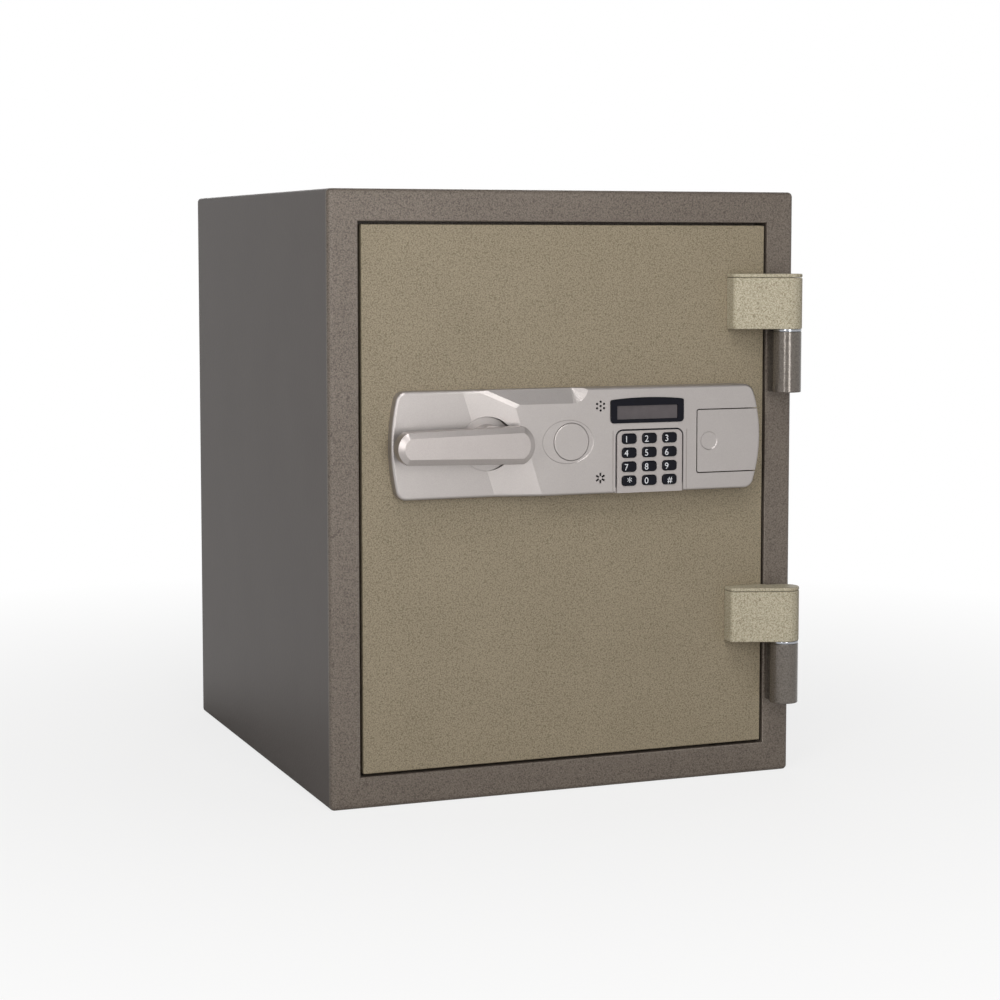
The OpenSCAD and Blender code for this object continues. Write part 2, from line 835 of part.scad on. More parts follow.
module plunger() {
    color(bright_steel) at_front()
        rod_z(plunger_x, bolt_y, plunger_r, plunger_z, solenoid_z + solenoid_h - 1.5);
}

module solenoid() {
    color("#3b4a6b") at_front() difference() {
        span([plunger_x - solenoid_w / 2, plunger_x + solenoid_w / 2], [pan_d, solenoid_back],
             [solenoid_z, solenoid_z + solenoid_h]);
        rod_z(plunger_x, bolt_y, plunger_r + run_fit, solenoid_z - over, solenoid_z + solenoid_h - 1);
    }
}

// Lead from the circuit board through the door and down to the solenoid
module lock_cable() {
    run_z = solenoid_z + solenoid_h / 2;
    color("#222222") at_front() {
        rod_y(cable_x, cable_z, cable_r, -board_front + board_t, cable_y);
        translate([cable_x, cable_y, cable_z]) sphere(r = cable_r);
        rod_z(cable_x, cable_y, cable_r, run_z, cable_z);
        translate([cable_x, cable_y, run_z]) sphere(r = cable_r);
        rod_x(cable_y, run_z, cable_r, plunger_x + solenoid_w / 2, cable_x);
    }
}

// Bulged end of the panel's outline, with its two corner fillets
module panel_end(x, bulge, side, inset) {
    half_h = panel_h / 2;
    big_r = (half_h * half_h + bulge * bulge) / (2 * bulge);
    fillet_z = half_h - panel_corner_r;
    fillet_x = sqrt(pow(big_r - panel_corner_r, 2) - fillet_z * fillet_z);
    translate([x - side * big_r, panel_z]) {
        intersection() {
            circle(r = big_r - inset, $fn = 240);
            polygon([[0, 0], [side * 2 * fillet_x, 2 * fillet_z], [side * 2 * fillet_x, -2 * fillet_z]]);
        }
        for (s = [-1, 1])
            translate([side * fillet_x, s * fillet_z]) circle(r = panel_corner_r - inset, $fn = 32);
    }
}

function fillet_x(bulge) =
    let (half_h = panel_h / 2, big_r = (half_h * half_h + bulge * bulge) / (2 * bulge))
    big_r - sqrt(pow(big_r - panel_corner_r, 2) - pow(half_h - panel_corner_r, 2));

module panel_outline(inset = 0) {
    x0 = panel_left + fillet_x(bulge_left);
    x1 = panel_right - fillet_x(bulge_right);
    panel_end(panel_left, bulge_left, -1, inset);
    panel_end(panel_right, bulge_right, 1, inset);
    translate([x0, panel_low + inset]) square([x1 - x0, panel_h - 2 * inset]);
}

module panel_blank(h) {
    hull() {
        along_y(-h + panel_edge, 0) panel_outline();
        along_y(-h, -h + panel_edge) panel_outline(panel_edge);
    }
}

// Everything at the deck's side of the slope, moved towards the door by in
module slope_side(in = 0) {
    reach = panel_right - panel_left;
    rise = over * (slope_top - slope_foot) / (deck_h - floor_h);
    x0 = slope_foot + in - rise;
    x1 = slope_top + in + rise;
    translate([handle_x, 0, panel_z]) rotate([0, -slope_lean, 0]) translate([0, 0, -panel_h])
        linear_extrude(2 * panel_h) polygon([
            [x0, over], [x0, over - floor_h + in], [x1, in - deck_h - over],
            [reach, in - deck_h - over], [reach, over]
        ]);
}

// Scoop out of the deck's upper edge: a leaning facet that ends in a cone
module scoop() {
    slice = 0.1;
    reach = scoop_h + over / 2;
    depth = scoop_depth * reach / scoop_h;
    translate([0, -deck_h, panel_top - scoop_h]) hull() {
        along_x(handle_x, handle_x + slice) polygon([
            [-over, -over], [0, 0], [depth, reach], [-over, reach]
        ]);
        translate([scoop_end, depth, reach]) rotate([90, 0, 0])
            cylinder(r1 = 0, r2 = reach * (depth + over) / depth, h = depth + over, $fn = 32);
    }
}

module panel_cavity() {
    difference() {
        union() {
            along_y(-floor_in, over) panel_outline(panel_wall);
            intersection() {
                along_y(-deck_in, over) panel_outline(panel_wall);
                slope_side(panel_wall);
            }
        }
        rod_y(handle_x, panel_z, pocket_r + panel_wall, -deck_h, -floor_in - over / 4);
        translate([0, panel_wall, -panel_wall]) scoop();
    }
}

module cover_opening(gap) {
    span([cover_left - gap, panel_right + over], [-deck_h - over, over], [batt_low - gap, batt_top + gap]);
}

// Front of the keypad: round upper corners, and straight down to a given height
module keypad_outline(gap, low) {
    half = keypad_w / 2 + gap;
    r = keypad_corner_r + gap;
    top = plate_top + gap;
    translate([keypad_x, 0]) {
        for (s = [-1, 1])
            translate([s * (half - r), top - r]) circle(r = r, $fn = 48);
        translate([r - half, low]) square([2 * (half - r), top - low]);
        translate([-half, low]) square([2 * half, top - r - low]);
    }
}

// Frame of the display: straight sides, an arched upper edge and round corners
module bezel_outline(gap = 0) {
    rise = 1.8;
    arc_r = (bezel_w * bezel_w / 4 + rise * rise) / (2 * rise);
    half = bezel_w / 2 + gap;
    r = bezel_corner_r + gap;
    side_top = bezel_h - arc_r + sqrt(pow(arc_r + gap, 2) - pow(half - r, 2));
    translate([bezel_x, bezel_z]) {
        translate([0, (side_top - gap) / 2]) rounded_rect(2 * half, side_top + gap, r);
        intersection() {
            translate([r - half, -gap]) square([2 * (half - r), bezel_h + 2 * gap]);
            translate([0, bezel_h - arc_r]) circle(r = arc_r + gap, $fn = 360);
        }
    }
}

module sound_holes() {
    dot_r = 0.9;
    ring_r = 3.6;
    rod_y(sound_x, upper_sound_z, dot_r, -deck_h - over, -deck_in + over);
    for (i = [0 : 5]) {
        turn = 60 * i + 30;
        rod_y(sound_x + ring_r * cos(turn), upper_sound_z + ring_r * sin(turn), dot_r,
              -deck_h - over, -deck_in + over);
        translate([sound_x, 0, lower_sound_z]) rotate([0, turn, 0])
            span([1.6, 4.3], [-deck_h - over, -deck_in + over], [-0.7, 0.7]);
    }
}

module board_posts() {
    post_r = 2.4;
    for (s = [-1, 1]) {
        rod_y(board_left + 4, panel_z + 12 * s, post_r, -deck_in - seam, -board_front);
        rod_y(board_right - 3, panel_z - 1 + 34 * s, post_r, -deck_in - seam, -board_front);
    }
}

// Moulded housing of the lock: deck, slope, low floor, and the cuts for what it carries
module panel_housing() {
    color(silver_paint) at_front() {
        difference() {
            union() {
                panel_blank(floor_h);
                intersection() {
                    panel_blank(deck_h);
                    slope_side();
                }
            }
            panel_cavity();
            scoop();
            rod_y(handle_x, panel_z, pocket_r, -deck_h - over, -rosette_seat);
            rod_y(handle_x, panel_z, spindle_r + bush_t + run_fit, -deck_h, over);
            rod_y(lock_x, panel_z, cap_r + cap_gap, -deck_h - over, -deck_in + over);
            along_y(-deck_h - over, -deck_h + dish_t) translate([lock_x + dish_shift, panel_z])
                polygon([for (a = [0 : 7.5 : 352.5]) [dish_rx * cos(a), dish_rz * sin(a)]]);
            along_y(-deck_h - over, -plate_back) keypad_outline(seam, panel_low - over);
            along_y(-deck_h, -deck_in + over) keypad_outline(-plate_ledge, keypad_open_z);
            for (s = [-1, 1])
                span([keypad_x + s * (keypad_w / 2 + 4) - groove_w / 2,
                      keypad_x + s * (keypad_w / 2 + 4) + groove_w / 2],
                     [-deck_h - over, -deck_h + groove_w], [panel_low - over, plate_top]);
            along_y(-deck_h - over, -deck_in + over) bezel_outline(seam);
            sound_holes();
            cover_opening(batt_gap);
        }
        board_posts();
    }
}

module display_bezel() {
    lip = 1;
    color(black_plastic) at_front() difference() {
        along_y(-bezel_front, -deck_in) bezel_outline();
        span([bezel_x - window_w / 2, bezel_x + window_w / 2], [-bezel_front - over, -window_front + window_t],
             [window_z, window_z + window_h]);
        span([bezel_x - window_w / 2 + lip, bezel_x + window_w / 2 - lip], [-bezel_front, over],
             [window_z + lip, window_z + window_h - lip]);
    }
}

module display_window() {
    color("#585051") at_front()
        span([bezel_x - window_w / 2 + seam, bezel_x + window_w / 2 - seam],
             [-window_front, -window_front + window_t], [window_z + seam, window_z + window_h - seam]);
}

module display_module() {
    border = 1.5;
    color(grey_plastic) at_front()
        span([bezel_x - window_w / 2 - border, bezel_x + window_w / 2 + border], [-module_front, -board_front],
             [window_z - border, window_z + window_h + border]);
}

function key_x(col) = keypad_x - 0.5 + (col - 1) * key_pitch_x;
function key_z(row) = key_row_z - row * key_pitch_z;

module key_outline(col, row, grow = 0) {
    translate([key_x(col), key_z(row)])
        rounded_rect(key_w + 2 * grow, key_h + 2 * grow, key_corner_r + grow);
}

module keypad_plate() {
    color("#ada6a3") at_front() difference() {
        along_y(-deck_h - plate_proud, -plate_back) keypad_outline(0, panel_low + seam);
        for (col = [0 : 2], row = [0 : 3])
            along_y(-deck_h - plate_proud - over, -plate_back + over) key_outline(col, row, key_gap);
    }
}

// Key cap with a flange behind the plate and a stem down to its contact
module key_at(col, row) {
    flange_y = plate_back - rest_gap;
    color(black_plastic) at_front() {
        along_y(-key_front, -flange_y) key_outline(col, row);
        along_y(-flange_y, -flange_y + key_flange_t) key_outline(col, row, key_flange);
        rod_y(key_x(col), key_z(row), key_stem_r, -flange_y + key_flange_t, -key_foot);
    }
}

module key_1() { key_at(0, 0); }
module key_2() { key_at(1, 0); }
module key_3() { key_at(2, 0); }
module key_4() { key_at(0, 1); }
module key_5() { key_at(1, 1); }
module key_6() { key_at(2, 1); }
module key_7() { key_at(0, 2); }
module key_8() { key_at(1, 2); }
module key_9() { key_at(2, 2); }
module key_star() { key_at(0, 3); }
module key_0() { key_at(1, 3); }
module key_hash() { key_at(2, 3); }

// Circuit board with a chip, a connector and the key contacts
module circuit_board() {
    back = -board_front + board_t;
    color("#2f6b45") at_front() {
        span([board_left, board_right], [-board_front, back], [board_low, board_top]);
        span([keypad_x, keypad_x + 16], [back, back + 2], [panel_z - 8, panel_z + 8]);
        span([keypad_x + 24, keypad_x + 32], [back, back + 4], [panel_z - 12, panel_z]);
        for (col = [0 : 2], row = [0 : 3])
            rod_y(key_x(col), key_z(row), 3, -board_front - 0.2, -board_front);
    }
}

module buzzers() {
    color(black_plastic) at_front()
        for (z = [upper_sound_z, lower_sound_z])
            difference() {
                rod_y(sound_x, z, sound_r, -deck_in + seam, -board_front);
                rod_y(sound_x, z, 1, -deck_in, -board_front - 1);
            }
}

module battery_tray() {
    x1 = batt_tray_x + batt_tray_w;
    color(black_plastic) at_front() difference() {
        span([batt_tray_x, x1], [-deck_in + seam, 0],
             [batt_z - batt_tray_h / 2, batt_z + batt_tray_h / 2]);
        span([batt_tray_x + tray_wall, x1 - tray_wall], [-deck_in, -deck_in + seam + batt_depth + seam],
             [batt_z - batt_tray_h / 2 + tray_wall, batt_z + batt_tray_h / 2 - tray_wall]);
    }
}

module batteries() {
    tip_h = 1.2;
    color("#5c7a3c") at_front()
        for (i = [0 : cell_count - 1])
            translate([batt_tray_x + tray_wall + seam + (i + 0.5) * cell_pitch, -cell_y, batt_z])
                mirror([0, 0, i % 2]) {
                    translate([0, 0, -cell_l / 2]) cylinder(d = cell_d, h = cell_l - tip_h);
                    translate([0, 0, cell_l / 2 - tip_h]) cylinder(r = 2.75, h = tip_h);
                }
}

// Sliding cover that wraps round the panel's right end
module battery_cover() {
    mark_r = 7.8;
    color(silver_paint) at_front() difference() {
        intersection() {
            panel_blank(deck_h);
            cover_opening(0);
        }
        along_y(-deck_h + batt_wall, over) panel_outline(batt_wall);
        difference() {
            rod_y(cover_left + 10.8, batt_z, mark_r, -deck_h - over, -deck_h + dish_t);
            rod_y(cover_left + 10.8, batt_z, mark_r - 0.7, -deck_h - over, -deck_h + over);
        }
    }
}

module lock_cylinder() {
    color(brass) at_front() difference() {
        union() {
            rod_y(lock_x, panel_z, cylinder_r, -cylinder_front, pan_d);
            rod_y(lock_x, panel_z, cylinder_r + 2.5, -cylinder_front, -cylinder_front + 2);
        }
        rod_y(lock_x, panel_z, plug_r + run_fit, -cylinder_front - over, pan_d + over);
    }
}

// Turning plug with its keyway and the cam on its tail
module key_plug() {
    color(bright_steel) at_front() {
        difference() {
            rod_y(lock_x, panel_z, plug_r, -plug_front, plug_tail);
            span([lock_x - 0.9, lock_x + 0.9], [-plug_front - over, pan_d / 2],
                 [panel_z - 4.5, panel_z + 4.5]);
        }
        span([lock_x - 5, lock_x + 5], [plug_tail, plug_tail + 2.5], [panel_z - 20, panel_z + 6]);
    }
}

module key_cap() {
    color(silver_paint) at_front() difference() {
        union() {
            rod_y(lock_x, panel_z, cap_r, -cap_front, -deck_in);
            rod_y(lock_x, panel_z, cap_r - 1.5, -deck_in, -cap_skirt);
        }
        rod_y(lock_x, panel_z, cap_r - 3, -deck_in, over);
    }
}

module handle_rosette() {
    color(silver_paint) at_front() difference() {
        rod_y(handle_x, panel_z, rosette_r, -rosette_front, -rosette_seat);
        rod_y(handle_x, panel_z, spindle_r + bush_t + run_fit, -rosette_front - over, over);
    }
}

module spindle_bush() {
    color(brass) at_front() difference() {
        rod_y(handle_x, panel_z, spindle_r + bush_t, -rosette_front, pan_d);
        rod_y(handle_x, panel_z, spindle_r + run_fit, -rosette_front - over, pan_d + over);
    }
}

// Outline of the lever about its axis: two round ends joined by a long taper
module lever_outline(inset) {
    tip_r = lever_tip_h / 2 + 1.5;
    nose_r = lever_nose_h / 2 + 1.5;
    intersection() {
        hull() {
            translate([-lever_l + tip_r, 0]) circle(r = tip_r - inset, $fn = 48);
            translate([lever_nose - nose_r, 0]) circle(r = nose_r - inset, $fn = 48);
        }
        polygon([
            [-lever_l, -lever_tip_h / 2 + inset], [-lever_l, lever_tip_h / 2 - inset],
            [lever_nose, lever_nose_h / 2 - inset], [lever_nose, -lever_nose_h / 2 + inset]
        ]);
    }
}

module handle_lever() {
    front = lever_back + lever_t;
    color(lever_paint) at_front() difference() {
        union() {
            translate([handle_x, 0, panel_z]) hull() {
                along_y(-front + lever_edge, -lever_back) lever_outline(0);
                along_y(-front, -front + lever_edge) lever_outline(1.6 * lever_edge);
            }
            rod_y(handle_x, panel_z, hub_r, -lever_back - over, -rosette_front - rest_gap);
        }
        rod_y(handle_x, panel_z, spindle_r + run_fit, -lever_back - lever_t / 2, 0);
    }
}

module handle_spindle() {
    color(bright_steel) at_front()
        rod_y(handle_x, panel_z, spindle_r, -lever_back - lever_t / 2, crank_front);
}

// Crank on the spindle; its pin drives the bar's upright slot
module crank() {
    color(dark_steel) at_front() {
        rod_y(handle_x, panel_z, crank_hub_r, crank_front, crank_back);
        translate([handle_x, 0, panel_z]) rotate([0, handle_swing / 2 - 90, 0])
            span([0, crank_l], [crank_front, crank_back], [-crank_arm_w / 2, crank_arm_w / 2]);
        rod_y(crank_pin_x, crank_pin_z, crank_arm_w / 2 + 1, crank_front, crank_back);
        rod_y(crank_pin_x, crank_pin_z, crank_pin_r, crank_back - over, bar_back);
    }
}

outer_shell();
back_panel();
front_frame();
body_insulation();
inner_liner();
door_seal();
shelf();
shelf_brackets();
anchor_sleeves();
bolt_keepers();
upper_frame_barrel();
lower_frame_barrel();
hinge_pins();
hinge_washers();
door_skin();
door_insulation();
lock_plate();
door_tray();
door_back_cover();
cover_screws();
upper_hinge_block();
lower_hinge_block();
hinge_block_caps();
hinge_side_bolts();
guide_studs();
panel_housing();
display_bezel();
display_window();
display_module();
keypad_plate();
circuit_board();
buzzers();
battery_tray();
batteries();
lock_cylinder();
handle_rosette();
spindle_bush();
solenoid();
lock_cable();
handle_lever();
handle_spindle();
crank();
bolt_bar();
lock_bolts();
plunger();
key_plug();
key_cap();
battery_cover();
key_1();
key_2();
key_3();
key_4();
key_5();
key_6();
key_7();
key_8();
key_9();
key_star();
key_0();
key_hash();
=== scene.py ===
from math import asin, cos, radians, sin

import bmesh
import bpy
from mathutils import Matrix, Vector


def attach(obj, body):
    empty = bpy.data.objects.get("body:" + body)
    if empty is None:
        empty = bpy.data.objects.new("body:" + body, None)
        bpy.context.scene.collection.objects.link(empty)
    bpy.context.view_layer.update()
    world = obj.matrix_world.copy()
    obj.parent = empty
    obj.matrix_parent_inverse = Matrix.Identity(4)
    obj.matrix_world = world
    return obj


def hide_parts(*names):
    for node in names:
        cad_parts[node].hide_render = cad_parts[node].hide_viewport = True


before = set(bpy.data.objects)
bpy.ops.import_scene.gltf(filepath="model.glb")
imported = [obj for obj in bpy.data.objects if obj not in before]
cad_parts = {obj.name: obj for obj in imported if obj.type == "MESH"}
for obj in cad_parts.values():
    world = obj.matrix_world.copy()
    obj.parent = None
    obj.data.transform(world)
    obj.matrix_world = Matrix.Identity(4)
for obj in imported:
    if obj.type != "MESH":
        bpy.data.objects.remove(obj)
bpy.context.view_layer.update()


# Studio
# A pale floor, a white surround, two upright softboxes either side of the camera, two above
# and one behind. The camera stands left of the door's middle, a little above the lock.
def metres(x, depth, z):
    """A point from millimetres: x from the middle, depth behind the door's face, z from the ground."""
    return Vector((x, depth - 212.5, z)) / 1000


def linear(colour):
    """An sRGB hex colour as the linear colour that shaders take."""
    parts = [int(colour[i:i + 2], 16) / 255 for i in (1, 3, 5)]
    return [p / 12.92 if p <= 0.04045 else ((p + 0.055) / 1.055) ** 2.4 for p in parts] + [1]


def add(owner, kind, values=None, feeds=None, **settings):
    """A shader node with its settings, its sockets' own values, and the sockets that feed it."""
    node = owner.node_tree.nodes.new("ShaderNode" + kind)
    for key, value in settings.items():
        setattr(node, key, value)
    for key, value in (values or {}).items():
        node.inputs[key].default_value = value
    for key, source in (feeds or {}).items():
        owner.node_tree.links.new(source, node.inputs[key])
    return node


camera_tilt, camera_turn = 4.77, 21.3
camera = bpy.data.objects.new("camera", bpy.data.cameras.new("camera"))
bpy.context.scene.collection.objects.link(camera)
bpy.context.scene.camera = camera
camera.location = metres(-731.4, -1718.4, 454.3)
camera.rotation_euler = (radians(90 - camera_tilt), 0, radians(-camera_turn))
camera.data.sensor_width = 36
camera.data.lens = 81.5
camera.data.shift_y = -0.065

bpy.context.scene.view_settings.view_transform = "Standard"

# The surround is white to the camera and to reflections, dimmer overhead in reflections, and
# a weak fill as a light.
surround = bpy.data.worlds.new("surround")
bpy.context.scene.world = surround
surround.use_nodes = True
surround.node_tree.nodes.clear()
rays = add(surround, "LightPath")
seen = add(surround, "Math", feeds={0: rays.outputs["Is Camera Ray"], 1: rays.outputs["Is Glossy Ray"]},
           operation="MAXIMUM")
seen = add(surround, "Math", feeds={0: seen.outputs[0], 1: rays.outputs["Is Transmission Ray"]},
           operation="MAXIMUM")
soft_fill = add(surround, "Background", {"Color": linear("#f4f3f0"), "Strength": 0.08})
way = add(surround, "TexCoord")
height = add(surround, "SeparateXYZ", feeds={0: way.outputs["Generated"]})
ceiling = add(surround, "MapRange", {1: 0.12, 2: 0.6, 3: 1.0, 4: 0.3}, {0: height.outputs["Z"]})
ceiling = add(surround, "Math", feeds={0: ceiling.outputs[0], 1: rays.outputs["Is Camera Ray"]},
              operation="MAXIMUM")
white_back = add(surround, "Background", {"Color": (1, 1, 1, 1)}, {"Strength": ceiling.outputs[0]})
both = add(surround, "MixShader",
           feeds={0: seen.outputs[0], 1: soft_fill.outputs[0], 2: white_back.outputs[0]})
add(surround, "OutputWorld", feeds={"Surface": both.outputs[0]})


def softbox(name, place, target, width, height, watts):
    """A rectangular soft light that faces a point; places and sizes in metres."""
    lamp = bpy.data.lights.new(name, "AREA")
    lamp.shape = "RECTANGLE"
    lamp.size, lamp.size_y = width, height
    lamp.energy = watts
    light = bpy.data.objects.new(name, lamp)
    bpy.context.scene.collection.objects.link(light)
    light.location = place
    light.rotation_euler = (Vector(target) - Vector(place)).to_track_quat("-Z", "Y").to_euler()


softbox("left_softbox", (-1.78, -2.05, 1.06), (0, -0.2, 0.3), 0.47, 1.9, 21)
softbox("right_softbox", (-0.06, -2.1, 0.64), (0, -0.2, 0.45), 0.42, 1.24, 12.6)
softbox("high_softbox", (-0.25, -1.1, 1.45), (0, -0.2, 0.5), 0.7, 0.5, 7)
softbox("top_softbox", (-0.5, -0.6, 2.6), (0, 0, 0.25), 2.2, 2.2, 3)
softbox("back_softbox", (0.7, 2.3, 1.3), (0, 0.2, 0.25), 1.4, 1.4, 16)

# The floor is a matt pale sheet that glows to white with its distance from the safe. In
# reflections it is dark close by, so that what faces down on the panel has some shade.
floor_r = 14
floor_mesh = bpy.data.meshes.new("floor")
bm = bmesh.new()
bmesh.ops.create_circle(bm, cap_ends=True, segments=64, radius=floor_r)
bm.to_mesh(floor_mesh)
bm.free()
floor = bpy.data.objects.new("floor", floor_mesh)
bpy.context.scene.collection.objects.link(floor)
pale_floor = bpy.data.materials.new("pale_floor")
pale_floor.use_nodes = True
pale_floor.node_tree.nodes.clear()
rays = add(pale_floor, "LightPath")
place = add(pale_floor, "TexCoord")
reach = add(pale_floor, "VectorMath", feeds={0: place.outputs["Object"]}, operation="LENGTH")
fade = add(pale_floor, "MapRange", {1: 0.3, 2: 1.1, 3: 0.8, 4: 1.0}, {0: reach.outputs["Value"]})
seen = add(pale_floor, "Math", operation="MAXIMUM",
           feeds={0: rays.outputs["Is Camera Ray"], 1: rays.outputs["Is Transmission Ray"]})
fade = add(pale_floor, "Math", feeds={0: fade.outputs[0], 1: seen.outputs[0]}, operation="MULTIPLY")
mirrored = add(pale_floor, "MapRange", {1: 0.28, 2: 0.46, 3: 0.15, 4: 0.92}, {0: reach.outputs["Value"]})
mirrored = add(pale_floor, "Math", feeds={0: mirrored.outputs[0], 1: rays.outputs["Is Glossy Ray"]},
               operation="MULTIPLY")
fade = add(pale_floor, "Math", feeds={0: fade.outputs[0], 1: mirrored.outputs[0]}, operation="MAXIMUM")
matt = add(pale_floor, "BsdfDiffuse", {"Color": linear("#d4d2cf")})
glow = add(pale_floor, "Emission", {"Color": (1, 1, 1, 1), "Strength": 1.0})
both = add(pale_floor, "MixShader", feeds={0: fade.outputs[0], 1: matt.outputs[0], 2: glow.outputs[0]})
add(pale_floor, "OutputMaterial", feeds={"Surface": both.outputs[0]})
floor_mesh.materials.append(pale_floor)


# Cabinet shell and back
# The shell is one steel sheet of 1.5 mm wrapped round with four long bends, and the back is
# a flat sheet in it. Both are coated with a baked enamel.
def material(name):
    """An empty material with its output and a Principled shader, and the object's own coordinates."""
    made = bpy.data.materials.new(name)
    made.use_nodes = True
    made.node_tree.nodes.clear()
    place = add(made, "TexCoord")
    shader = add(made, "BsdfPrincipled")
    add(made, "OutputMaterial", feeds={"Surface": shader.outputs[0]})
    return made, place.outputs["Object"], shader


def finish_shader(made, shader, colour, height, depth, **numbers):
    """Gives the shader its colour socket, its plain numbers and, with a depth in millimetres, its relief."""
    made.node_tree.links.new(colour, shader.inputs["Base Color"])
    for key, value in numbers.items():
        shader.inputs[key.replace("_", " ").title().replace("Ior", "IOR")].default_value = value
    if depth:
        bump = add(made, "Bump", {"Strength": 1.0, "Distance": depth / 1000}, {"Height": height})
        made.node_tree.links.new(bump.outputs[0], shader.inputs["Normal"])
    return made


def blend_colour(made, low, high, factor):
    """A colour between two hex colours by a factor socket."""
    mix = add(made, "Mix", {6: linear(low), 7: linear(high)}, {0: factor}, data_type="RGBA")
    return mix.outputs[2]


def dress(node, finish):
    """Gives a CAD node its material."""
    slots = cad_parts[node].data.materials
    slots.clear()
    slots.append(finish)


# Baked enamel, sprayed and stoved: even grey-brown and half matt, with a faint orange peel.
body_paint, spot, shader = material("baked_enamel")
peel = add(body_paint, "TexNoise", {"Scale": 1000 / 2.4, "Detail": 2.0}, {"Vector": spot})
cloud = add(body_paint, "TexNoise", {"Scale": 1000 / 70, "Detail": 2.0}, {"Vector": spot})
finish_shader(body_paint, shader, blend_colour(body_paint, "#534c48", "#5b5450", cloud.outputs[0]),
              peel.outputs[0], 0.12, roughness=0.46, specular_ior_level=0.2)
for part in ("outer_shell", "back_panel"):
    dress(part, body_paint)


# Front frame
# One steel pressing of 2 mm: the face, its rim and the two stepped jambs round the door. Its
# outer edges have a wide bend and the edges at the door's gap a narrow one.
def hammertone(name, low, high, cell, roughness, depth, metallic=0.0, gloss=0.5):
    """Hammertone powder coat: cells of one size in millimetres, darker in the pits, with a fine grain."""
    made, spot, shader = material(name)
    cells = add(made, "TexVoronoi", {"Scale": 1000 / cell, "Randomness": 0.9}, {"Vector": spot},
                feature="SMOOTH_F1")
    grain = add(made, "TexNoise", {"Scale": 1000 / (cell * 0.7), "Detail": 3.0, "Roughness": 0.6},
                {"Vector": spot})
    cloud = add(made, "TexNoise", {"Scale": 1000 / 45, "Detail": 2.0}, {"Vector": spot})
    relief = add(made, "Math", feeds={0: cells.outputs["Distance"], 1: grain.outputs[0]},
                 operation="MULTIPLY")
    shade = add(made, "MapRange", {1: 0.05, 2: 0.42, 3: 1.0, 4: 0.0}, {0: relief.outputs[0]})
    drift = add(made, "MapRange", {1: 0.3, 2: 0.7, 3: -0.035, 4: 0.035}, {0: cloud.outputs[0]})
    tone = add(made, "Math", feeds={0: shade.outputs[0], 1: drift.outputs[0]}, operation="ADD",
               use_clamp=True)
    height = add(made, "Math", {1: -1.0}, {0: relief.outputs[0]}, operation="MULTIPLY")
    return finish_shader(made, shader, blend_colour(made, low, high, tone.outputs[0]), height.outputs[0],
                         depth, roughness=roughness, metallic=metallic, specular_ior_level=gloss)


def node_copy(node):
    """A CAD node as a bmesh in millimetres from the door's face, its triangles merged into faces."""
    bm = bmesh.new()
    bm.from_mesh(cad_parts[node].data)
    bmesh.ops.remove_doubles(bm, verts=bm.verts, dist=2e-6)
    bmesh.ops.dissolve_limit(bm, angle_limit=radians(0.6), verts=bm.verts, edges=bm.edges)
    bmesh.ops.transform(bm, matrix=Matrix.Scale(1000, 4) @ Matrix.Translation((0, 0.2125, 0)),
                        verts=bm.verts)
    return bm


def make_piece(name, bm, finish, body, node, crease=32):
    """Turns a bmesh in millimetres into a piece in its place, on its body, with its finish."""
    bmesh.ops.remove_doubles(bm, verts=bm.verts, dist=1e-4)
    bmesh.ops.recalc_face_normals(bm, faces=bm.faces)
    for face in bm.faces:
        face.smooth = True
    for edge in bm.edges:
        edge.smooth = len(edge.link_faces) == 2 and edge.calc_face_angle() < radians(crease)
    bmesh.ops.transform(bm, matrix=Matrix.Translation((0, -0.2125, 0)) @ Matrix.Scale(0.001, 4),
                        verts=bm.verts)
    mesh = bpy.data.meshes.new(name)
    bm.to_mesh(mesh)
    bm.free()
    mesh.materials.append(finish)
    piece = bpy.data.objects.new(name, mesh)
    bpy.context.scene.collection.objects.link(piece)
    even = piece.modifiers.new("even_faces", "WEIGHTED_NORMAL")
    even.weight, even.keep_sharp = 80, True
    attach(piece, body)
    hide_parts(node)
    return piece


def sharp_edges(bm, test=None, angle=30):
    """Edges that bend more than an angle, optionally only those that pass a test on their middle."""
    found = []
    for edge in bm.edges:
        if len(edge.link_faces) == 2 and edge.calc_face_angle() > radians(angle):
            if test is None or test((edge.verts[0].co + edge.verts[1].co) / 2):
                found.append(edge)
    return found


def round_edges(bm, edges, radius, segments=2):
    """Rounds edges over to a radius in millimetres."""
    bmesh.ops.bevel(bm, geom=edges, offset=radius, offset_type="OFFSET", segments=segments, profile=0.5,
                    affect="EDGES", clamp_overlap=True, material=-1)


# Hammertone powder coat, a shade browner than the shell: a satin with pits of about 1 mm.
frame_paint = hammertone("frame_hammertone", "#4d443d", "#7d7369", 1.1, 0.38, 0.3, 0.15, 0.35)
body_half, body_h, gap_inset = 207.5, 500, 17.5
outer_bend, gap_bend = 4, 1.1
bm = node_copy("front_frame")
outer_edges = sharp_edges(bm, lambda p: p.y < 0.1 and (abs(p.x) > body_half - 2.5 or p.z < 2
                                                       or p.z > body_h - 2))
round_edges(bm, outer_edges, outer_bend, 5)
gap_edges = sharp_edges(bm, lambda p: p.y < 0.1 and abs(p.x) < body_half - gap_inset)
round_edges(bm, gap_edges, gap_bend, 3)
make_piece("front_frame_pressing", bm, frame_paint, "cabinet", "front_frame")


# Chamber
# Inside: a folded liner, a loose shelf on four angle clips, two sleeves for the anchors and a
# cast fill round them. The door's tray, its cover and its boltwork have the same finishes.

# Powder coat on the liner: light grey and matt, a little uneven as it flowed.
liner_paint = hammertone("liner_powder_coat", "#a9a7a2", "#bdbbb6", 1.2, 0.5, 0.12)
for part in ("inner_liner", "shelf", "door_tray", "door_back_cover"):
    dress(part, liner_paint)

